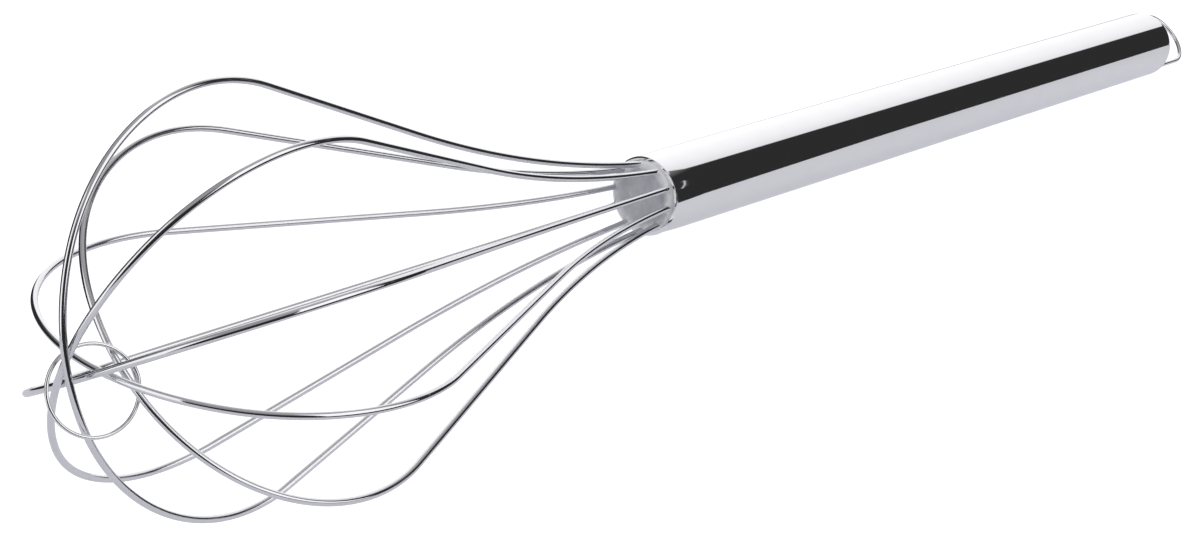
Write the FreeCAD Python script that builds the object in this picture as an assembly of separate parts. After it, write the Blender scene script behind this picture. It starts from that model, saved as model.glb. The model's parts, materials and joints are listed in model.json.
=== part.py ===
import FreeCAD, Part
import os
from math import atan2, cos, pi, radians, sin, sqrt, tan

# Balloon whisk, in millimetres. It is drawn about its own axis first: X runs along the handle, the
# wires leave the plug's beads at about x = 0 and lie at negative x, the plug's face and the handle
# are at positive x. It is then laid down as it rests on a table: on two neighbouring wires and the
# rim of the handle's end cap.

# Handle
HANDLE_RADIUS = 12.7
HANDLE_WALL = 0.6
TUBE_END = 329.0
MOUTH_X = 1.7
MOUTH_BORE = 11.4
LIP_RADIUS = 12.6
LIP_LENGTH = 0.8
LIP_ROUNDING = 0.15
NECK_RADIUS = 12.3
NECK_START = MOUTH_X + LIP_LENGTH
NECK_END = 16.0

# End cap: a shallow pressed dish welded edge to edge on the tube's end
CAP_EDGE_RADIUS = 4.0
CAP_CROWN = 1.0

# Hanging eye: a wire arch whose two legs pass through the cap
EYE_WIRE_RADIUS = 0.8
EYE_HALF_WIDTH = 11.1
EYE_ARCH_START = 346.0
EYE_FOOT_X = 325.0
EYE_FOOT_LENGTH = 3.0
EYE_FOOT_BEND = 2.0
EYE_TURN = -55.5

# Resin plug that holds the wires, and the disc that keeps the liquid resin in place behind it
PLUG_FACE = 0.4
PLUG_ROUNDING = 0.8
PLUG_DEPTH = 30.0
PLUG_BEAD_RADIUS = 1.8
PLUG_BEAD_TOP = 1.2
PLUG_BEAD_HEIGHT = 1.1
DAM_THICKNESS = 3.0
DAM_HOLE_CLEARANCE = 0.15
BORE_CLEARANCE = 0.02

# Wires
WIRE_RADIUS = 1.0
PITCH_RADIUS = 10.4
TAIL_LENGTH = 38.0
FLARE_START = 5.9
BELLY_RADIUS = 53.8
TIP_RADIUS = 63.1

# One row for each loop, from the outermost at the tip inwards:
# length from the plug to the tip, steepest slope, belly reach, turn about the axis,
# and how far the loop leans in its plane and out of it, in degrees
LOOPS = [
    (229.6, 20.0, 57.1, -18.1, 2.1, 0.5),
    (227.0, 21.1, 59.3, 18.1, 0.3, -0.6),
    (224.4, 21.6, 57.8, 54.1, -1.0, 0.6),
    (219.0, 20.8, 58.8, 86.4, -0.2, 0.3),
    (214.6, 20.3, 56.4, 125.5, 0.2, -0.7),
]

# Loose ring threaded through all five loops at the tip
RING_RADIUS = 11.6
RING_WIRE_RADIUS = 0.55
RING_CENTRE = (-222.4, -4.1, -4.5)
RING_NORMAL = (-0.375, -0.761, 0.529)

# Points taken along a wire, and rounds of refinement, when the resting plane is found
REST_SAMPLES = 2000
REST_ROUNDS = 12

ORIGIN = FreeCAD.Vector(0, 0, 0)
X_AXIS = FreeCAD.Vector(1, 0, 0)
Y_AXIS = FreeCAD.Vector(0, 1, 0)
Z_AXIS = FreeCAD.Vector(0, 0, 1)


def line(a, b):
    return Part.LineSegment(a, b).toShape()


def mirrored(vector):
    return FreeCAD.Vector(vector.x, vector.y, -vector.z)


def loop_arcs(length, slope, reach):
    """Sizes of one half of a loop: flare arc, straight, belly arc, flatter arc over the tip."""
    first, steep = radians(FLARE_START), radians(slope)
    bend = atan2(sqrt(1 - ((reach - BELLY_RADIUS) / (TIP_RADIUS - BELLY_RADIUS)) ** 2),
                 (reach - BELLY_RADIUS) / (TIP_RADIUS - BELLY_RADIUS))
    rise = reach - PITCH_RADIUS - BELLY_RADIUS * (1 - cos(steep))
    run = length - BELLY_RADIUS * (sin(steep) + sin(bend)) - TIP_RADIUS * (1 - sin(bend))
    # The flare arc and the straight share the rise and the run that are left: two linear equations.
    arc_rise, arc_run = cos(first) - cos(steep), sin(steep) - sin(first)
    determinant = arc_rise * cos(steep) - arc_run * sin(steep)
    flare = (rise * cos(steep) - run * sin(steep)) / determinant
    straight = (arc_rise * run - arc_run * rise) / determinant
    return first, steep, bend, flare, straight


def loop_half(length, slope, reach):
    """Edges of the loop's upper half, from the end in the handle to the tip."""
    first, steep, bend, flare, straight = loop_arcs(length, slope, reach)
    tail = FreeCAD.Vector(TAIL_LENGTH * cos(first), 0, PITCH_RADIUS - TAIL_LENGTH * sin(first))
    exit_point = FreeCAD.Vector(0, 0, PITCH_RADIUS)
    # A flare bends the other way from a belly, so its centre lies outside the loop.
    flare_x = flare * sin(first)
    flare_r = PITCH_RADIUS + flare * cos(first)
    flare_points = [FreeCAD.Vector(flare_x - flare * sin(a), 0, flare_r - flare * cos(a))
                    for a in (first, 0.5 * (first + steep), steep)]
    flare_end = flare_points[-1]
    belly_start = flare_end + FreeCAD.Vector(-straight * cos(steep), 0, straight * sin(steep))
    belly_x = belly_start.x - BELLY_RADIUS * sin(steep)
    belly_r = belly_start.z - BELLY_RADIUS * cos(steep)
    belly_points = [FreeCAD.Vector(belly_x - BELLY_RADIUS * sin(a), 0, belly_r + BELLY_RADIUS * cos(a))
                    for a in (-steep, 0.5 * (bend - steep), bend)]
    tip_x = TIP_RADIUS - length
    tip_points = [FreeCAD.Vector(tip_x - TIP_RADIUS * sin(a), 0, TIP_RADIUS * cos(a))
                  for a in (bend, 0.5 * (bend + pi / 2), pi / 2)]
    return [tail, exit_point, flare_points, flare_end, belly_start, belly_points, tip_points]


def loop_wire(length, slope, reach):
    """The loop's centre line, from one end in the handle round the tip to the other end."""
    tail, exit_point, flare_points, flare_end, belly_start, belly_points, tip_points = loop_half(
        length, slope, reach)
    upper = [
        line(tail, exit_point),
        Part.Arc(*flare_points).toShape(),
        line(flare_end, belly_start),
        Part.Arc(*belly_points).toShape(),
    ]
    over_tip = [tip_points[0], tip_points[2], mirrored(tip_points[0])]
    lower = [
        Part.Arc(*[mirrored(p) for p in reversed(belly_points)]).toShape(),
        line(mirrored(belly_start), mirrored(flare_end)),
        Part.Arc(*[mirrored(p) for p in reversed(flare_points)]).toShape(),
        line(mirrored(exit_point), mirrored(tail)),
    ]
    return Part.Wire(upper + [Part.Arc(*over_tip).toShape()] + lower)


def swept_round(path, radius):
    """A round wire of the given radius along a path of lines and tangent arcs."""
    start = path.Edges[0]
    begin = path.OrderedVertexes[0].Point
    direction = start.tangentAt(start.FirstParameter)
    if (start.valueAt(start.FirstParameter) - begin).Length > 1e-6:
        direction = start.tangentAt(start.LastParameter) * -1
    section = Part.Wire(Part.makeCircle(radius, begin, direction))
    return path.makePipeShell([section], True, False)


def lean(shape, turn, lean_in, lean_out):
    """Tilts a loop about the plug's centre, then turns it to its place about the axis."""
    placed = shape.copy()
    placed.rotate(ORIGIN, Y_AXIS, lean_in)
    placed.rotate(ORIGIN, Z_AXIS, lean_out)
    placed.rotate(ORIGIN, X_AXIS, turn)
    return placed


def loop_paths():
    """Centre lines of the five loops, each one piece of wire with both of its ends in the plug."""
    return [lean(loop_wire(length, slope, reach), turn, lean_in, lean_out)
            for length, slope, reach, turn, lean_in, lean_out in LOOPS]


def revolved(points):
    """A solid of revolution about the X axis from a closed outline in the XZ plane."""
    corners = [FreeCAD.Vector(x, 0, r) for x, r in points]
    face = Part.Face(Part.makePolygon(corners + corners[:1]))
    return face.revolve(ORIGIN, X_AXIS, 360)


def neck_radius(x, full, necked):
    """Radius of the drawn-in mouth: it grows along a parabola to the full tube."""
    if x >= NECK_END:
        return full
    share = min(1.0, (NECK_END - x) / (NECK_END - NECK_START))
    return full - (full - necked) * share ** 2


def neck_curve(full, necked):
    """The drawn-in part of the tube's outline, from the lip to the full tube."""
    steps = [NECK_START + (NECK_END - NECK_START) * i / 6.0 for i in range(7)]
    slope = 2 * (full - necked) / (NECK_END - NECK_START)
    curve = Part.BSplineCurve()
    curve.interpolate([FreeCAD.Vector(x, 0, neck_radius(x, full, necked)) for x in steps],
                      InitialTangent=FreeCAD.Vector(1, 0, slope), FinalTangent=X_AXIS)
    return curve.toShape()


def handle_tube():
    """Thin tube, drawn in at the mouth where the plug sits, with a small flat-faced lip."""
    inner_full = HANDLE_RADIUS - HANDLE_WALL
    lip_top = FreeCAD.Vector(MOUTH_X, 0, LIP_RADIUS)
    lip_end = FreeCAD.Vector(NECK_START, 0, LIP_RADIUS)
    lip_foot = FreeCAD.Vector(NECK_START, 0, NECK_RADIUS)
    outer_end = FreeCAD.Vector(TUBE_END, 0, HANDLE_RADIUS)
    inner_end = FreeCAD.Vector(TUBE_END, 0, inner_full)
    inner_lip = FreeCAD.Vector(NECK_START, 0, MOUTH_BORE)
    inner_mouth = FreeCAD.Vector(MOUTH_X, 0, MOUTH_BORE)
    outline = Part.Wire([
        line(lip_top, lip_end),
        line(lip_end, lip_foot),
        neck_curve(HANDLE_RADIUS, NECK_RADIUS),
        line(FreeCAD.Vector(NECK_END, 0, HANDLE_RADIUS), outer_end),
        line(outer_end, inner_end),
        line(inner_end, FreeCAD.Vector(NECK_END, 0, inner_full)),
        neck_curve(inner_full, MOUTH_BORE),
        line(inner_lip, inner_mouth),
        line(inner_mouth, lip_top),
    ])
    tube = Part.Face(outline).revolve(ORIGIN, X_AXIS, 360)
    rims = []
    for edge in tube.Edges:
        box = edge.BoundBox
        if box.XMax < NECK_START + 1e-4 and box.ZMax > NECK_RADIUS + 0.1 and box.XLength < 1e-4:
            rims.append(edge)
    return tube.makeFillet(LIP_ROUNDING, rims)


def bore_radius(x):
    return neck_radius(x, HANDLE_RADIUS - HANDLE_WALL, MOUTH_BORE) - BORE_CLEARANCE


def bore_fill(start, end):
    """Outline of a plug that fills the tube's bore between two stations."""
    stations = [start + (end - start) * i / 8.0 for i in range(9)]
    return [(x, bore_radius(x)) for x in stations] + [(end, 0)]


def wire_ends(start_radius, end_radius, start, end):
    """Ten round sleeves on the wires' centre lines, one on each wire's end, between two stations."""
    slope = tan(radians(FLARE_START))
    sleeves = []
    for length, steep, reach, turn, lean_in, lean_out in LOOPS:
        for side in (1, -1):
            foot = FreeCAD.Vector(start, 0, side * (PITCH_RADIUS - start * slope))
            along = FreeCAD.Vector(end - start, 0, -side * (end - start) * slope)
            if start_radius == end_radius:
                sleeve = Part.makeCylinder(start_radius, along.Length, foot, along)
            else:
                sleeve = Part.makeCone(start_radius, end_radius, along.Length, foot, along)
            sleeves.append(lean(sleeve, turn, lean_in, lean_out))
    return sleeves


def resin_plug(loops):
    """Poured resin that stands a little proud of the mouth, with a small bead round each wire."""
    edge = bore_radius(NECK_START)
    rounded = [(PLUG_FACE + PLUG_ROUNDING * (1 - cos(a)), edge - PLUG_ROUNDING * (1 - sin(a)))
               for a in (0.5 * pi * i / 6.0 for i in range(7))]
    plug = revolved([(PLUG_FACE, 0)] + rounded + bore_fill(NECK_START, PLUG_DEPTH))
    beads = wire_ends(PLUG_BEAD_TOP, PLUG_BEAD_RADIUS, PLUG_FACE - PLUG_BEAD_HEIGHT, PLUG_FACE + 0.5)
    within = Part.makeCylinder(edge, PLUG_DEPTH, FreeCAD.Vector(-5, 0, 0), X_AXIS)
    beads = [bead.common(within) for bead in beads]
    return plug.multiFuse(beads).cut(Part.makeCompound(loops))


def resin_dam():
    """Disc pushed down the tube before the resin is poured, with a hole for each wire's end."""
    end = PLUG_DEPTH + DAM_THICKNESS
    disc = revolved([(PLUG_DEPTH, 0)] + bore_fill(PLUG_DEPTH, end))
    hole = WIRE_RADIUS + DAM_HOLE_CLEARANCE
    return disc.cut(Part.makeCompound(wire_ends(hole, hole, PLUG_DEPTH - 1, end + 1)))


def cap_profile(inset):
    """Outline of the cap's outer skin moved inwards by the wall that is left."""
    edge = CAP_EDGE_RADIUS - inset
    flat_r = HANDLE_RADIUS - CAP_EDGE_RADIUS
    face_x = TUBE_END + CAP_EDGE_RADIUS - inset
    crown = CAP_CROWN
    corner = FreeCAD.Vector(TUBE_END, 0, HANDLE_RADIUS - inset)
    mid = FreeCAD.Vector(TUBE_END + edge * sin(pi / 4), 0, flat_r + edge * cos(pi / 4))
    shoulder = FreeCAD.Vector(face_x, 0, flat_r)
    apex = FreeCAD.Vector(face_x + crown, 0, 0)
    sphere = (flat_r ** 2 + crown ** 2) / (2 * crown)
    half = 0.5 * atan2(flat_r, sphere - crown)
    over = FreeCAD.Vector(face_x + crown - sphere * (1 - cos(half)), 0, sphere * sin(half))
    return corner, mid, shoulder, over, apex


def end_cap(eye):
    """Pressed dish with a rounded edge and a slight crown; the eye's legs pass through it."""
    corner, mid, shoulder, over, apex = cap_profile(0)
    in_corner, in_mid, in_shoulder, in_over, in_apex = cap_profile(HANDLE_WALL)
    outline = Part.Wire([
        Part.Arc(corner, mid, shoulder).toShape(),
        Part.Arc(shoulder, over, apex).toShape(),
        line(apex, in_apex),
        Part.Arc(in_apex, in_over, in_shoulder).toShape(),
        Part.Arc(in_shoulder, in_mid, in_corner).toShape(),
        line(in_corner, corner),
    ])
    return Part.Face(outline).revolve(ORIGIN, X_AXIS, 360).cut(eye)


def hanging_eye():
    """Arch of wire for hanging the whisk; its feet are bent inwards behind the cap."""
    inner = EYE_HALF_WIDTH - EYE_FOOT_BEND
    turned = EYE_FOOT_X + EYE_FOOT_BEND
    middle = EYE_FOOT_BEND * cos(pi / 4)
    toe = FreeCAD.Vector(EYE_FOOT_X, 0, inner - EYE_FOOT_LENGTH)
    heel = FreeCAD.Vector(EYE_FOOT_X, 0, inner)
    ankle = FreeCAD.Vector(turned - middle, 0, inner + middle)
    leg = FreeCAD.Vector(turned, 0, EYE_HALF_WIDTH)
    shoulder = FreeCAD.Vector(EYE_ARCH_START, 0, EYE_HALF_WIDTH)
    apex = FreeCAD.Vector(EYE_ARCH_START + EYE_HALF_WIDTH, 0, 0)
    path = Part.Wire([
        line(toe, heel),
        Part.Arc(heel, ankle, leg).toShape(),
        line(leg, shoulder),
        Part.Arc(shoulder, apex, mirrored(shoulder)).toShape(),
        line(mirrored(shoulder), mirrored(leg)),
        Part.Arc(mirrored(leg), mirrored(ankle), mirrored(heel)).toShape(),
        line(mirrored(heel), mirrored(toe)),
    ])
    eye = swept_round(path, EYE_WIRE_RADIUS)
    eye.rotate(ORIGIN, X_AXIS, EYE_TURN)
    return eye


def tip_ring():
    """Closed ring of thin wire, threaded through the five loops."""
    return Part.makeTorus(RING_RADIUS, RING_WIRE_RADIUS, FreeCAD.Vector(*RING_CENTRE),
                          FreeCAD.Vector(*RING_NORMAL))


def resting_plane(paths):
    """The table's direction and distance, touching the given wires and the rim of the end cap."""
    rim_radius = HANDLE_RADIUS - CAP_EDGE_RADIUS
    samples = [path.discretize(Number=REST_SAMPLES) for path in paths]
    down = Z_AXIS * -1
    for _ in range(REST_ROUNDS):
        feet = [max(points, key=down.dot) + down * WIRE_RADIUS for points in samples]
        across = FreeCAD.Vector(0, down.y, down.z).normalize()
        rim = FreeCAD.Vector(TUBE_END, 0, 0) + across * rim_radius + down * CAP_EDGE_RADIUS
        down = (feet[1] - feet[0]).cross(rim - feet[0]).normalize()
        if down.z > 0:
            down = down * -1
    return down, down.dot(rim)


def laid_down(parts, paths):
    """The placement that sets the whisk on the table, centred over the origin."""
    down, drop = resting_plane(paths)
    up = down * -1
    forward = (X_AXIS - up * up.dot(X_AXIS)).normalize()
    side = up.cross(forward)
    turn = FreeCAD.Matrix(
        forward.x, forward.y, forward.z, 0,
        side.x, side.y, side.z, 0,
        up.x, up.y, up.z, drop,
        0, 0, 0, 1)
    standing = FreeCAD.Placement(turn)
    everything = Part.makeCompound([shape.copy() for shape in parts.values()])
    everything.Placement = standing
    box = everything.optimalBoundingBox(False)
    middle = FreeCAD.Vector(-0.5 * (box.XMin + box.XMax), -0.5 * (box.YMin + box.YMax), 0)
    return FreeCAD.Placement(middle, FreeCAD.Rotation()).multiply(standing)


def report_places(placement):
    """Prints where the interfaces and the ring's axis are once the whisk is laid down."""
    turn = placement.Rotation
    places = {
        "wires leave the plug": (ORIGIN, X_AXIS * -1),
        "handle middle": (FreeCAD.Vector(0.5 * TUBE_END, 0, 0), X_AXIS),
        "tube end": (FreeCAD.Vector(TUBE_END, 0, 0), X_AXIS),
        "eye arch centre": (FreeCAD.Vector(EYE_ARCH_START, 0, 0), X_AXIS),
        "ring": (FreeCAD.Vector(*RING_CENTRE), FreeCAD.Vector(*RING_NORMAL).normalize()),
    }
    for name, (point, axis) in places.items():
        print(name, placement.multVec(point), turn.multVec(axis))


def main():
    paths = loop_paths()
    loops = [swept_round(path, WIRE_RADIUS) for path in paths]
    eye = hanging_eye()
    parts = {
        "handle_tube": handle_tube(),
        "end_cap": end_cap(eye),
        "hanging_eye": eye,
        "resin_plug": resin_plug(loops),
        "resin_dam": resin_dam(),
        "tip_ring": tip_ring(),
    }
    for number, loop in enumerate(loops, 1):
        parts["wire_loop_%d" % number] = loop
    placement = laid_down(parts, paths[:2])
    os.makedirs("parts", exist_ok=True)
    for name, shape in parts.items():
        shape.Placement = placement.multiply(shape.Placement)
        print(name, shape.ShapeType, len(shape.Solids), shape.isValid(), round(shape.Volume, 2))
        shape.exportStep("parts/%s.step" % name)
    report_places(placement)


main()
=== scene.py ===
import bpy
import json
import random
from math import atan2, cos, exp, pi, radians, sin, sqrt
from mathutils import Matrix, Vector


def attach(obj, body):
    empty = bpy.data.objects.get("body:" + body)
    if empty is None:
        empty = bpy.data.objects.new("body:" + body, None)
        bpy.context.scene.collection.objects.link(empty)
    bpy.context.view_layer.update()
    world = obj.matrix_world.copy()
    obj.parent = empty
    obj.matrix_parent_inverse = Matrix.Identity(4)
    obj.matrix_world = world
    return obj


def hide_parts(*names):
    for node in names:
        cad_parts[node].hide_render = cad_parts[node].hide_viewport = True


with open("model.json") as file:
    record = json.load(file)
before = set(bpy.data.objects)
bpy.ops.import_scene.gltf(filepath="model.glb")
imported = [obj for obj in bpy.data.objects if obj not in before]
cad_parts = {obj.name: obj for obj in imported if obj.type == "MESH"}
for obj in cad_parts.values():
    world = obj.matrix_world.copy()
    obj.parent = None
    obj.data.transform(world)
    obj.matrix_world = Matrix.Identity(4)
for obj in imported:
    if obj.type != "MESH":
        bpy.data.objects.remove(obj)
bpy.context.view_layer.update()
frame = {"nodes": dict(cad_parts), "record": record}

# The whisk's own axes, from its record: X runs along the handle away from the wires, Y is the tip
# ring's hinge line, and the wires leave the plug's beads at about x = 0. Lengths are in millimetres.
RECORD = frame["record"]
GRIP = next(m for m in RECORD["mounts"] if m["name"] == "handle_grip")
HINGE = RECORD["behaviour"]["joints"][0]
GRIP_X = 172.0
MM = 0.001
AXIS_X = Vector(GRIP["axis"]).normalized()
AXIS_Z = AXIS_X.cross(Vector(HINGE["axis"])).normalized()
AXIS_Y = AXIS_Z.cross(AXIS_X)
PLUG_CENTRE = Vector(GRIP["pos_m"]) - AXIS_X * GRIP_X * MM
BASIS = Matrix((AXIS_X, AXIS_Y, AXIS_Z)).transposed()

# Handle, cap and eye
HANDLE_RADIUS = 12.7
HANDLE_WALL = 0.6
TUBE_END = 329.0
MOUTH_X = 1.7
MOUTH_BORE = 11.4
LIP_RADIUS = 12.6
LIP_LENGTH = 0.8
LIP_ROUNDING = 0.15
NECK_RADIUS = 12.3
NECK_START = MOUTH_X + LIP_LENGTH
NECK_END = 16.0
CAP_EDGE_RADIUS = 4.0
CAP_CROWN = 1.0
HANDLE_SIDES = 256
CAP_SIDES = 192
EYE_WIRE_RADIUS = 0.8
EYE_HALF_WIDTH = 11.1
EYE_ARCH_START = 346.0
EYE_FOOT_X = 325.0
EYE_FOOT_LENGTH = 3.0
EYE_FOOT_BEND = 2.0
EYE_TURN = -55.5
EYE_SIDES = 24

# Resin plug
PLUG_FACE = 0.4
PLUG_ROUNDING = 1.1
PLUG_DEPTH = 30.0
BORE_CLEARANCE = 0.02
BEAD_HEIGHT = 1.1
BEAD_SPREAD = 0.5
FACE_RINGS = 70
FACE_SEGMENTS = 240
FACE_WAVE = 0.08
PLUG_BACK_RADIUS = 4.0

# Wires: for each loop its length, steepest slope, belly reach, turn, lean in and lean out
WIRE_RADIUS = 1.0
PITCH_RADIUS = 10.4
# The resin's colour is painted paler from the first of these radii to the second and stays pale beyond
# it: a painted highlight on the beads and the rim
RESIN_PAINTED_HIGHLIGHT = (PITCH_RADIUS - 2.2, PITCH_RADIUS - 0.6)
TAIL_LENGTH = 38.0
FLARE_START = 5.9
BELLY_RADIUS = 53.8
TIP_RADIUS = 63.1
LOOPS = [
    (229.6, 20.0, 57.1, -18.1, 2.1, 0.5),
    (227.0, 21.1, 59.3, 18.1, 0.3, -0.6),
    (224.4, 21.6, 57.8, 54.1, -1.0, 0.6),
    (219.0, 20.8, 58.8, 86.4, -0.2, 0.3),
    (214.6, 20.3, 56.4, 125.5, 0.2, -0.7),
]
WIRE_SIDES = 28
WIRE_STEP = 1.2

# Tip ring: one turn of thin wire with its two ends welded side by side
RING_RADIUS = 11.6
RING_WIRE_RADIUS = 0.55
RING_CENTRE = (-222.4, -4.1, -4.5)
RING_NORMAL = (-0.375, -0.761, 0.529)
RING_LAP_AT = (-211.67, -7.22, -1.38)
RING_LAP_HALF = 12.0
RING_LAP_SHIFT = 0.42
RING_STEPS = 360
RING_SIDES = 20
# Share of the way from the middle of the wire to its ends where these start to move aside, and the
# share over which they do so
RING_SHIFT_FROM = 0.82
RING_SHIFT_OVER = 0.12


def place(point):
    """A point in the whisk's own axes and millimetres, as metres in the frame."""
    return PLUG_CENTRE + BASIS @ (Vector(point) * MM)


def turned(point, axis, degrees):
    return Matrix.Rotation(radians(degrees), 3, axis) @ Vector(point)


def leaned(point, turn, lean_in, lean_out):
    return turned(turned(turned(point, "Y", lean_in), "Z", lean_out), "X", turn)


def arc(centre, radius, first, last, step):
    """Points (x, r) on an arc from angle first to last, measured as sin, cos about its centre."""
    count = max(2, int(abs(last - first) * radius / step))
    return [(centre[0] - radius * sin(first + (last - first) * i / count),
             centre[1] + radius * cos(first + (last - first) * i / count)) for i in range(count + 1)]


def straight(a, b, step):
    length = sqrt((b[0] - a[0]) ** 2 + (b[1] - a[1]) ** 2)
    count = max(1, int(length / step))
    return [(a[0] + (b[0] - a[0]) * i / count, a[1] + (b[1] - a[1]) * i / count)
            for i in range(count + 1)]


def loop_half(length, slope, reach):
    """Half a loop as (x, r): straight tail, flare, straight, belly, flatter arc over the tip."""
    first, steep = radians(FLARE_START), radians(slope)
    ratio = (reach - BELLY_RADIUS) / (TIP_RADIUS - BELLY_RADIUS)
    bend = atan2(sqrt(1 - ratio ** 2), ratio)
    rise = reach - PITCH_RADIUS - BELLY_RADIUS * (1 - cos(steep))
    run = length - BELLY_RADIUS * (sin(steep) + sin(bend)) - TIP_RADIUS * (1 - sin(bend))
    arc_rise, arc_run = cos(first) - cos(steep), sin(steep) - sin(first)
    determinant = arc_rise * cos(steep) - arc_run * sin(steep)
    flare = (rise * cos(steep) - run * sin(steep)) / determinant
    slack = (arc_rise * run - arc_run * rise) / determinant
    tail = (TAIL_LENGTH * cos(first), PITCH_RADIUS - TAIL_LENGTH * sin(first))
    leave = (0.0, PITCH_RADIUS)
    flare_centre = (flare * sin(first), PITCH_RADIUS + flare * cos(first))
    flared = [(flare_centre[0] - flare * sin(a), flare_centre[1] - flare * cos(a))
              for a in [first + (steep - first) * i / 60 for i in range(61)]]
    belly_start = (flared[-1][0] - slack * cos(steep), flared[-1][1] + slack * sin(steep))
    belly_centre = (belly_start[0] - BELLY_RADIUS * sin(steep),
                    belly_start[1] - BELLY_RADIUS * cos(steep))
    belly = arc(belly_centre, BELLY_RADIUS, -steep, bend, WIRE_STEP)
    tip = arc((TIP_RADIUS - length, 0.0), TIP_RADIUS, bend, pi / 2, WIRE_STEP)
    runs = [straight(tail, leave, 2 * WIRE_STEP), flared,
            straight(flared[-1], belly_start, 2 * WIRE_STEP), belly, tip]
    half = runs[0]
    for part in runs[1:]:
        half = half + part[1:]
    return half


def loop_line(row):
    """The whole centre line of a loop in the whisk's own axes, and the normal of its plane."""
    half = loop_half(*row[:3])
    whole = half + [(x, -r) for x, r in reversed(half[:-1])]
    return [leaned((x, 0, r), *row[3:]) for x, r in whole], leaned((0, 1, 0), *row[3:])


def mesh_object(name, verts, faces, grain, sharp=35):
    """A smooth-shaded object. grain is a 3-D coordinate per vertex that follows the metal's draw."""
    mesh = bpy.data.meshes.new(name)
    mesh.from_pydata([tuple(v) for v in verts], [], faces)
    mesh.validate()
    mesh.shade_smooth()
    mesh.set_sharp_from_angle(angle=radians(sharp))
    attribute = mesh.attributes.new("grain", "FLOAT_VECTOR", "POINT")
    attribute.data.foreach_set("vector", [c for g in grain for c in g])
    obj = bpy.data.objects.new(name, mesh)
    bpy.context.scene.collection.objects.link(obj)
    return obj


def tube(name, points, binormal, radius, sides):
    """A round wire swept along points that lie in, or close to, the plane with this normal."""
    count = len(points)
    verts, grain, faces = [], [], []
    travelled = 0.0
    for i, point in enumerate(points):
        before = points[max(i - 1, 0)]
        after = points[min(i + 1, count - 1)]
        tangent = (after - before).normalized()
        out = binormal.cross(tangent).normalized()
        side = tangent.cross(out)
        if i:
            travelled += (point - points[i - 1]).length
        for j in range(sides):
            angle = 2 * pi * j / sides
            verts.append(place(point + (out * cos(angle) + side * sin(angle)) * radius))
            grain.append((cos(angle) * radius, sin(angle) * radius, travelled))
    for i in range(count - 1):
        for j in range(sides):
            a, b = i * sides + j, i * sides + (j + 1) % sides
            faces.append((a, b, b + sides, a + sides))
    faces.append(tuple(reversed(range(sides))))
    faces.append(tuple(range((count - 1) * sides, count * sides)))
    return mesh_object(name, verts, faces, grain)


def lathe(name, profile, sides, sharp=35):
    """A closed outline of (x, r) turned about the handle's axis."""
    verts, grain, faces = [], [], []
    for x, r in profile:
        for j in range(sides):
            angle = 2 * pi * j / sides
            verts.append(place((x, r * cos(angle), r * sin(angle))))
            grain.append((HANDLE_RADIUS * cos(angle), HANDLE_RADIUS * sin(angle), x))
    count = len(profile)
    for i in range(count):
        for j in range(sides):
            a, b = i * sides + j, i * sides + (j + 1) % sides
            c, d = (i + 1) % count * sides + j, (i + 1) % count * sides + (j + 1) % sides
            faces.append((a, c, d, b))
    return mesh_object(name, verts, faces, grain, sharp=sharp)


def neck_radius(x, full, necked):
    """Radius of the drawn-in mouth: it grows along a parabola to the full tube."""
    if x >= NECK_END:
        return full
    share = min(1.0, (NECK_END - x) / (NECK_END - NECK_START))
    return full - (full - necked) * share ** 2


def bore_radius(x):
    return neck_radius(x, HANDLE_RADIUS - HANDLE_WALL, MOUTH_BORE) - BORE_CLEARANCE


# ---------------------------------------------------------------- materials

def node(tree, kind, x, y, **values):
    made = tree.nodes.new(kind)
    made.location = (x, y)
    for key, value in values.items():
        setattr(made, key, value)
    return made


def feed(tree, socket, value):
    """Links another node's output to the socket, or sets the socket to a plain value."""
    if isinstance(value, bpy.types.NodeSocket):
        tree.links.new(value, socket)
    else:
        socket.default_value = value


def maths(tree, x, y, operation, *values):
    made = node(tree, "ShaderNodeMath", x, y, operation=operation)
    for socket, value in zip(made.inputs, values):
        feed(tree, socket, value)
    return made.outputs["Value"]


def ranged(tree, x, y, value, between, to=(0.0, 1.0)):
    """The value's place between two numbers, stretched to two others and kept within them."""
    made = node(tree, "ShaderNodeMapRange", x, y)
    names = ("Value", "From Min", "From Max", "To Min", "To Max")
    for name, setting in zip(names, (value, *between, *to)):
        feed(tree, made.inputs[name], setting)
    return made.outputs["Result"]


def mixed(tree, x, y, factor, a, b):
    made = node(tree, "ShaderNodeMix", x, y, data_type="RGBA")
    for name, value in (("Factor", factor), ("A", a), ("B", b)):
        feed(tree, made.inputs[name], value)
    return made.outputs["Result"]


def noise(tree, x, y, where, scale, detail=2.0):
    made = node(tree, "ShaderNodeTexNoise", x, y)
    made.inputs["Scale"].default_value = scale
    made.inputs["Detail"].default_value = detail
    tree.links.new(where, made.inputs["Vector"])
    return made.outputs["Fac"]


def grain_of(tree):
    return node(tree, "ShaderNodeAttribute", -1200, 0, attribute_name="grain").outputs["Vector"]


def raised(tree, shader, height, strength, distance):
    """Bump of the given strength and depth in metres, from a height pattern."""
    bump = node(tree, "ShaderNodeBump", -300, -450)
    bump.inputs["Strength"].default_value = strength
    bump.inputs["Distance"].default_value = distance
    tree.links.new(height, bump.inputs["Height"])
    tree.links.new(bump.outputs["Normal"], shader.inputs["Normal"])


def blank_material(name):
    material = bpy.data.materials.new(name)
    material.use_nodes = True
    return material, material.node_tree, material.node_tree.nodes["Principled BSDF"]


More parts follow.
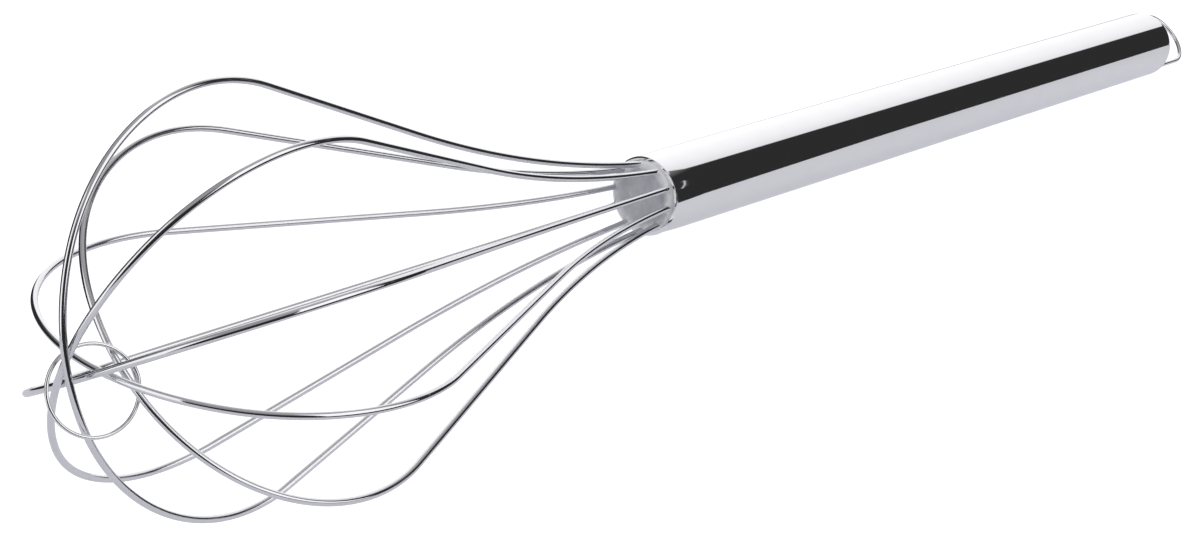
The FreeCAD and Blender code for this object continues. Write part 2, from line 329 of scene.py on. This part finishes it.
def steel(name, colour, dark, rough, rough_spread, scratch, along):
    """Polished steel: faint draw lines along the metal, soft blotches of wear and haze."""
    material, tree, shader = blank_material(name)
    shader.inputs["Metallic"].default_value = 1.0
    grain = grain_of(tree)
    stretch = node(tree, "ShaderNodeMapping", -1000, 0)
    stretch.inputs["Scale"].default_value = (along, along, 0.05)
    tree.links.new(grain, stretch.inputs["Vector"])
    lines = noise(tree, -800, 0, stretch.outputs["Vector"], 2.0, 6.0)
    blotch = noise(tree, -800, -300, grain, 0.11, 4.0)
    feed(tree, shader.inputs["Base Color"], mixed(tree, -400, 200, blotch, (*dark, 1), (*colour, 1)))
    haze = maths(tree, -600, -200, "MULTIPLY", blotch, lines)
    roughness = ranged(tree, -400, -200, haze, (0.1, 0.45), (rough, rough + rough_spread))
    feed(tree, shader.inputs["Roughness"], roughness)
    raised(tree, shader, lines, scratch, 0.00002)
    return material


def resin(name):
    """Cast grey resin: slightly milky, with faint clouding and small pits; its colour is painted near
    white at the rim, a painted highlight on the beads and the meniscus.
    """
    material, tree, shader = blank_material(name)
    shader.inputs["IOR"].default_value = 1.5
    shader.inputs["Subsurface Weight"].default_value = 0.35
    shader.inputs["Subsurface Radius"].default_value = (0.0012, 0.0012, 0.0014)
    shader.inputs["Subsurface Scale"].default_value = 1.0
    grain = grain_of(tree)
    cloud = noise(tree, -800, 0, grain, 0.35, 5.0)
    tone = mixed(tree, -400, 200, cloud, (0.52, 0.52, 0.56, 1), (0.80, 0.80, 0.86, 1))
    flat = node(tree, "ShaderNodeVectorMath", -1000, 400, operation="MULTIPLY")
    flat.inputs[1].default_value = (1, 1, 0)
    tree.links.new(grain, flat.inputs[0])
    reach = node(tree, "ShaderNodeVectorMath", -800, 400, operation="LENGTH")
    tree.links.new(flat.outputs["Vector"], reach.inputs[0])
    # Painted highlight: the rim and the beads round the wires are painted near white
    painted_highlight = ranged(tree, -600, 400, reach.outputs["Value"], RESIN_PAINTED_HIGHLIGHT)
    feed(tree, shader.inputs["Base Color"], mixed(tree, -200, 300, painted_highlight, tone, (0.95, 0.95, 1.0, 1)))
    feed(tree, shader.inputs["Roughness"], ranged(tree, -400, -200, cloud, (0.0, 1.0), (0.18, 0.32)))
    raised(tree, shader, noise(tree, -800, -400, grain, 3.0), 0.25, 0.0001)
    return material


def board(name):
    """Matt pressed board with a fibrous surface."""
    material, tree, shader = blank_material(name)
    shader.inputs["Roughness"].default_value = 0.85
    spot = node(tree, "ShaderNodeTexCoord", -1200, 0).outputs["Object"]
    fibre = noise(tree, -800, 0, spot, 900.0, 6.0)
    tone = mixed(tree, -400, 200, fibre, (0.10, 0.08, 0.06, 1), (0.20, 0.17, 0.13, 1))
    feed(tree, shader.inputs["Base Color"], tone)
    raised(tree, shader, fibre, 0.4, 0.0001)
    return material


# Steels: pale tone, darker tone, roughness and its spread, scratches, lines round the metal
HANDLE_STEEL = steel("handle_polished_steel", (0.93, 0.93, 0.945), (0.88, 0.88, 0.90),
                     0.035, 0.035, 0.05, 1.0)
WIRE_STEEL = steel("loop_bright_wire", (0.84, 0.84, 0.87), (0.74, 0.74, 0.77), 0.05, 0.06, 0.08, 1.2)
RING_STEEL = steel("ring_bright_wire", (0.90, 0.90, 0.92), (0.82, 0.82, 0.84), 0.10, 0.06, 0.03, 1.6)
EYE_STEEL = steel("eye_bright_wire", (0.90, 0.90, 0.92), (0.80, 0.80, 0.82), 0.05, 0.06, 0.05, 1.6)
CAP_STEEL = steel("cap_polished_steel", (0.92, 0.92, 0.935), (0.86, 0.86, 0.88), 0.05, 0.05, 0.06, 0.6)
RESIN = resin("potting_resin_grey")
BOARD = board("dam_board_brown")


def finish_piece(obj, material, body, cad_node):
    obj.data.materials.append(material)
    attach(obj, body)
    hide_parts(cad_node)


# ---------------------------------------------------------------- pieces

def wire_loops():
    for number, row in enumerate(LOOPS, 1):
        points, normal = loop_line(row)
        obj = tube("whisk_wire_%d" % number, points, normal, WIRE_RADIUS, WIRE_SIDES)
        finish_piece(obj, WIRE_STEEL, "whisk", "wire_loop_%d" % number)


def ring():
    """One turn of wire whose ends pass each other side by side and are welded."""
    normal = Vector(RING_NORMAL).normalized()
    centre = Vector(RING_CENTRE)
    toward = Vector(RING_LAP_AT) - centre
    across = (toward - normal * toward.dot(normal)).normalized()
    other = normal.cross(across)
    lap = radians(RING_LAP_HALF)
    points = []
    for i in range(RING_STEPS + 1):
        share = i / RING_STEPS
        angle = -lap + (2 * pi + 2 * lap) * share
        side = 2 * share - 1
        ease = min(1.0, max(0.0, (abs(side) - RING_SHIFT_FROM) / RING_SHIFT_OVER))
        shift = RING_LAP_SHIFT * (1 if side > 0 else -1) * ease * ease * (3 - 2 * ease)
        radius = RING_RADIUS + 0.5 * shift
        points.append(centre + (across * cos(angle) + other * sin(angle)) * radius + normal * shift)
    obj = tube("tip_ring_wire", points, normal, RING_WIRE_RADIUS, RING_SIDES)
    finish_piece(obj, RING_STEEL, "ring", "tip_ring")


def handle():
    quarter = [(LIP_ROUNDING * cos(pi / 2 * i / 5), LIP_ROUNDING * sin(pi / 2 * i / 5))
               for i in range(6)]
    lip = [(MOUTH_X + LIP_ROUNDING - a, LIP_RADIUS - LIP_ROUNDING + b) for a, b in quarter]
    lip += [(NECK_START - LIP_ROUNDING + b, LIP_RADIUS - LIP_ROUNDING + a) for a, b in quarter]
    neck = [NECK_START + (NECK_END - NECK_START) * i / 24 for i in range(25)]
    body = [NECK_END + (TUBE_END - NECK_END) * i / 30 for i in range(1, 31)]
    outer = [(x, neck_radius(x, HANDLE_RADIUS, NECK_RADIUS)) for x in neck + body]
    inner = [(x, bore_radius(x) + BORE_CLEARANCE) for x in reversed(neck + body)]
    obj = lathe("handle_shell", lip + outer + inner + [(MOUTH_X, MOUTH_BORE)], HANDLE_SIDES)
    finish_piece(obj, HANDLE_STEEL, "whisk", "handle_tube")


def cap():
    def skin(inset):
        edge = CAP_EDGE_RADIUS - inset
        flat = HANDLE_RADIUS - CAP_EDGE_RADIUS
        face = TUBE_END + CAP_EDGE_RADIUS - inset
        sphere = (flat ** 2 + CAP_CROWN ** 2) / (2 * CAP_CROWN)
        rounded = [(TUBE_END + edge * sin(pi / 2 * i / 14), flat + edge * cos(pi / 2 * i / 14))
                   for i in range(15)]
        crowned = []
        for i in range(1, 13):
            r = flat * (1 - i / 12) + 0.002
            crowned.append((face + CAP_CROWN - sphere + sqrt(sphere ** 2 - r ** 2), r))
        return rounded + crowned
    profile = skin(0.0) + list(reversed(skin(HANDLE_WALL)))
    obj = lathe("handle_end_cap", profile, CAP_SIDES)
    finish_piece(obj, CAP_STEEL, "whisk", "end_cap")


def eye():
    inner = EYE_HALF_WIDTH - EYE_FOOT_BEND
    bent = EYE_FOOT_X + EYE_FOOT_BEND
    side = [(EYE_FOOT_X, inner - EYE_FOOT_LENGTH), (EYE_FOOT_X, inner)]
    side += [(bent - EYE_FOOT_BEND * cos(pi / 2 * i / 8), inner + EYE_FOOT_BEND * sin(pi / 2 * i / 8))
             for i in range(1, 9)]
    side += [(bent + (EYE_ARCH_START - bent) * i / 12, EYE_HALF_WIDTH) for i in range(1, 13)]
    side += [(EYE_ARCH_START + EYE_HALF_WIDTH * sin(pi / 2 * i / 24),
              EYE_HALF_WIDTH * cos(pi / 2 * i / 24)) for i in range(1, 25)]
    whole = side + [(x, -r) for x, r in reversed(side[:-1])]
    points = [turned((x, 0, r), "X", EYE_TURN) for x, r in whole]
    obj = tube("hanging_eye_wire", points, turned((0, 1, 0), "X", EYE_TURN), EYE_WIRE_RADIUS, EYE_SIDES)
    finish_piece(obj, EYE_STEEL, "whisk", "hanging_eye")


def plug():
    """The resin's face with a bead drawn up round each wire and a meniscus at the tube's wall."""
    dice = random.Random(7)
    feet = []
    for row in LOOPS:
        for sign in (1, -1):
            foot = leaned((0, 0, sign * PITCH_RADIUS), *row[3:])
            feet.append((foot.y, foot.z, dice.uniform(0.8, 1.1), dice.uniform(0.85, 1.2)))
    edge = bore_radius(NECK_START)

    def station(y, z):
        """How far along the axis the resin's skin is at this point of the face."""
        reach = sqrt(y * y + z * z)
        inset = max(0.0, reach - (edge - PLUG_ROUNDING))
        level = PLUG_ROUNDING - sqrt(max(0.0, PLUG_ROUNDING ** 2 - inset ** 2))
        level += FACE_WAVE * sin(0.7 * y + 0.4) * cos(0.6 * z - 0.9)
        bead = 0.0
        for fy, fz, tall, wide in feet:
            away = sqrt((y - fy) ** 2 + (z - fz) ** 2) - WIRE_RADIUS
            one = BEAD_HEIGHT * tall * exp(-(max(0.0, away) / (BEAD_SPREAD * wide)) ** 1.5)
            bead = max(bead, one) + 0.2 * min(bead, one)
        return PLUG_FACE + level - min(bead, BEAD_HEIGHT)

    rings = [(edge * (k + 0.5) / (FACE_RINGS + 0.5), None) for k in range(FACE_RINGS)]
    rings += [(edge, PLUG_FACE + PLUG_ROUNDING), (edge, NECK_START)]
    rings += [(bore_radius(x), x) for x in (5, 8, 11, 14, 16, PLUG_DEPTH)]
    rings += [(PLUG_BACK_RADIUS, PLUG_DEPTH)]
    verts, grain, faces = [], [], []
    for reach, depth in rings:
        for j in range(FACE_SEGMENTS):
            angle = 2 * pi * j / FACE_SEGMENTS
            y, z = reach * cos(angle), reach * sin(angle)
            x = station(y, z) if depth is None else depth
            verts.append(place((x, y, z)))
            grain.append((y, z, x))
    for k in range(len(rings) - 1):
        for j in range(FACE_SEGMENTS):
            a, b = k * FACE_SEGMENTS + j, k * FACE_SEGMENTS + (j + 1) % FACE_SEGMENTS
            faces.append((a, a + FACE_SEGMENTS, b + FACE_SEGMENTS, b))
    faces.append(tuple(range(FACE_SEGMENTS)))
    last = (len(rings) - 1) * FACE_SEGMENTS
    faces.append(tuple(reversed(range(last, last + FACE_SEGMENTS))))
    obj = mesh_object("resin_plug_face", verts, faces, grain, sharp=80)
    finish_piece(obj, RESIN, "whisk", "resin_plug")


def dam():
    obj = frame["nodes"]["resin_dam"]
    obj.data.materials.clear()
    obj.data.materials.append(BOARD)


# ---------------------------------------------------------------- studio

# Camera in the whisk's own axes: place in millimetres, and its right, down and forward directions
CAMERA_AT = (-617.1, -418.0, 305.8)
CAMERA_RIGHT = (0.6267, -0.7556, 0.1905)
CAMERA_DOWN = (-0.2098, -0.3991, -0.8926)
CAMERA_LENS = 77.94
SENSOR_WIDTH = 36.0

# Outline in metres of the table that the metal mirrors, and half the width of the floor that is seen
TABLE = ((-1.2, -0.3), (-0.3, -0.15), (0.0, -0.09), (0.2, -0.11), (0.42, -0.046), (0.5, 0.02),
         (1.8, 0.35), (1.8, 0.6), (0.1, 0.25), (-1.2, 0.25))
FLOOR_REACH = 8

# The bright backdrop fills the directions over a slanted edge and on one side of an upright one.
# The slanted edge climbs where the direction's x is under the first bend or over the second.
LIGHT_SLOPE = 1.95
LIGHT_SIDE = (0.883, -0.469, 0.0)
LIGHT_BEND = 0.79
LIGHT_FAR_BEND = 0.92
LIGHT_CLIMB = 5.0
MOST_CLIMB = 0.6
EDGE_BLUR = 0.02
SIDE_BLUR = 0.05
BACKDROP_TOP = (0.64, 0.76)
CEILING_RISE = (0.5, 0.75)
CEILING_TONES = (0.026, 0.36)

# Bright panels: bearings, heights and lean in degrees, and glow
PANEL_DISTANCE = 2.5
PANEL_COLUMNS = 12
PANEL_ROWS = 8
PANELS = [
    ("panel_right", (-107, -52), (2, 60), 0.0, 1.2),
    ("panel_left", (146, 187), (-4, 52), 0.0, 1.1),
    ("panel_spot", (-44.25, -43.75), (8, 20), 0.47, 0.8),
]


def camera():
    data = bpy.data.cameras.new("studio_camera")
    data.sensor_width = SENSOR_WIDTH
    data.lens = CAMERA_LENS
    data.clip_start = 0.01
    data.clip_end = 50.0
    obj = bpy.data.objects.new("studio_camera", data)
    bpy.context.scene.collection.objects.link(obj)
    right = (BASIS @ Vector(CAMERA_RIGHT)).normalized()
    back = right.cross(-(BASIS @ Vector(CAMERA_DOWN))).normalized()
    turn = Matrix((right, back.cross(right), back)).transposed()
    obj.matrix_world = Matrix.Translation(place(CAMERA_AT)) @ turn.to_4x4()
    bpy.context.scene.camera = obj


def plane(name, corners, material):
    mesh = bpy.data.meshes.new(name)
    mesh.from_pydata([(x, y, 0) for x, y in corners], [], [tuple(range(len(corners)))])
    obj = bpy.data.objects.new(name, mesh)
    obj.data.materials.append(material)
    bpy.context.scene.collection.objects.link(obj)
    return obj


def floor_material(name, colour, glow):
    material, _, shader = blank_material(name)
    shader.inputs["Base Color"].default_value = (*colour, 1)
    shader.inputs["Roughness"].default_value = 1.0
    shader.inputs["Specular IOR Level"].default_value = 0.0
    shader.inputs["Emission Color"].default_value = (0.95, 0.95, 1.0, 1)
    shader.inputs["Emission Strength"].default_value = glow
    return material


def soft_light(name, at, toward, size, power):
    """A soft light that the metal doesn't mirror."""
    data = bpy.data.lights.new(name, "AREA")
    data.size = size
    data.energy = power
    obj = bpy.data.objects.new(name, data)
    bpy.context.scene.collection.objects.link(obj)
    obj.location = at
    obj.rotation_euler = (Vector(toward) - Vector(at)).to_track_quat("-Z", "Y").to_euler()
    obj.visible_glossy = False
    obj.visible_camera = False


def panel(name, around, up, lean, glow):
    """A bright curved panel that only the metal sees, between two bearings and two heights.
    lean is how much the bearing grows with each degree of height."""
    verts, faces = [], []
    for i in range(PANEL_COLUMNS + 1):
        for j in range(PANEL_ROWS + 1):
            climb = (up[1] - up[0]) * j / PANEL_ROWS
            rise = radians(up[0] + climb)
            bearing = radians(around[0] + (around[1] - around[0]) * i / PANEL_COLUMNS + lean * climb)
            verts.append((PANEL_DISTANCE * cos(rise) * cos(bearing),
                          PANEL_DISTANCE * cos(rise) * sin(bearing),
                          PANEL_DISTANCE * sin(rise)))
    row = PANEL_ROWS + 1
    for i in range(PANEL_COLUMNS):
        for j in range(PANEL_ROWS):
            corner = i * row + j
            faces.append((corner, corner + 1, corner + row + 1, corner + row))
    mesh = bpy.data.meshes.new(name)
    mesh.from_pydata(verts, [], faces)
    material, _, shader = blank_material(name)
    shader.inputs["Base Color"].default_value = (0, 0, 0, 1)
    shader.inputs["Emission Color"].default_value = (1, 1, 1, 1)
    shader.inputs["Emission Strength"].default_value = glow
    mesh.materials.append(material)
    obj = bpy.data.objects.new(name, mesh)
    bpy.context.scene.collection.objects.link(obj)
    obj.visible_camera = False
    obj.visible_diffuse = False
    obj.visible_shadow = False


def backdrop(tree, way, x, y, z):
    """How much of each direction the bright backdrop fills."""
    slant = maths(tree, -600, -300, "MULTIPLY_ADD", y, LIGHT_SLOPE, z)
    near = maths(tree, -700, -100, "MINIMUM", x, LIGHT_BEND)
    climb = maths(tree, -600, -200, "MULTIPLY_ADD", near, LIGHT_CLIMB, -LIGHT_CLIMB * LIGHT_BEND)
    low = maths(tree, -500, -250, "MAXIMUM", climb, -MOST_CLIMB)
    edge = maths(tree, -450, -300, "ADD", slant, low)
    far = maths(tree, -600, -900, "MULTIPLY_ADD", x, -LIGHT_CLIMB, LIGHT_CLIMB * LIGHT_FAR_BEND)
    dip = maths(tree, -500, -900, "MINIMUM", far, 0.0)
    bent = maths(tree, -420, -300, "ADD", edge, dip)
    over = ranged(tree, -400, -300, bent, (-EDGE_BLUR, EDGE_BLUR))
    side = node(tree, "ShaderNodeVectorMath", -600, -500, operation="DOT_PRODUCT")
    side.inputs[1].default_value = LIGHT_SIDE
    tree.links.new(way, side.inputs[0])
    beside = ranged(tree, -400, -500, side.outputs["Value"], (-SIDE_BLUR, SIDE_BLUR))
    both = maths(tree, -200, -350, "MULTIPLY", over, beside)
    top = ranged(tree, -400, -700, z, BACKDROP_TOP, (1.0, 0.2))
    return maths(tree, -100, -400, "MULTIPLY", both, top)


def surroundings():
    """What the metal mirrors in each direction; to the camera the surroundings are white."""
    world = bpy.data.worlds.new("soft_studio")
    bpy.context.scene.world = world
    world.use_nodes = True
    tree = world.node_tree
    tree.nodes.clear()
    out = node(tree, "ShaderNodeOutputWorld", 600, 0)
    sky = node(tree, "ShaderNodeBackground", 300, 0)
    way = node(tree, "ShaderNodeTexCoord", -1000, 0).outputs["Generated"]
    split = node(tree, "ShaderNodeSeparateXYZ", -800, 0)
    tree.links.new(way, split.inputs["Vector"])
    x, y, z = split.outputs["X"], split.outputs["Y"], split.outputs["Z"]
    lit = backdrop(tree, way, x, y, z)
    ceiling = ranged(tree, -200, -700, z, CEILING_RISE, CEILING_TONES)
    fade = node(tree, "ShaderNodeValToRGB", -600, 100)
    fade.color_ramp.elements[0].position = 0.35
    fade.color_ramp.elements[0].color = (0.80, 0.80, 0.81, 1)
    fade.color_ramp.elements[1].position = 0.78
    fade.color_ramp.elements[1].color = (1.12, 1.12, 1.12, 1)
    fade.color_ramp.elements.new(0.5).color = (0.97, 0.97, 0.98, 1)
    tree.links.new(maths(tree, -700, 100, "MULTIPLY_ADD", y, 0.5, 0.5), fade.inputs["Fac"])
    shade = mixed(tree, 0, 0, lit, ceiling, fade.outputs["Color"])
    seen = node(tree, "ShaderNodeLightPath", -200, 300).outputs["Is Camera Ray"]
    tree.links.new(mixed(tree, 150, 100, seen, shade, (1, 1, 1, 1)), sky.inputs["Color"])
    tree.links.new(sky.outputs["Background"], out.inputs["Surface"])


def studio():
    """Pale floor, soft lights that the metal doesn't mirror, and the surroundings that it does."""
    reach = FLOOR_REACH
    seen = plane("floor_seen", ((-reach, -reach), (reach, -reach), (reach, reach), (-reach, reach)),
                 floor_material("floor_white", (0.9, 0.9, 0.9), 0.95))
    seen.visible_glossy = False
    seen.visible_diffuse = False
    table = plane("floor_table", TABLE, floor_material("floor_pale", (0.79, 0.79, 0.84), 0.36))
    table.visible_camera = False
    soft_light("overhead_soft", (0.1, 0.0, 1.4), (0.1, 0.0, 0.0), 1.2, 4.5)
    soft_light("front_soft", (-1.2, -0.6, 1.0), (-0.06, 0.0, 0.03), 0.8, 7.0)
    for row in PANELS:
        panel(*row)
    surroundings()
    scene = bpy.context.scene
    scene.view_settings.view_transform = "Standard"
    scene.view_settings.look = "None"


wire_loops()
ring()
handle()
cap()
eye()
plug()
dam()
camera()
studio()
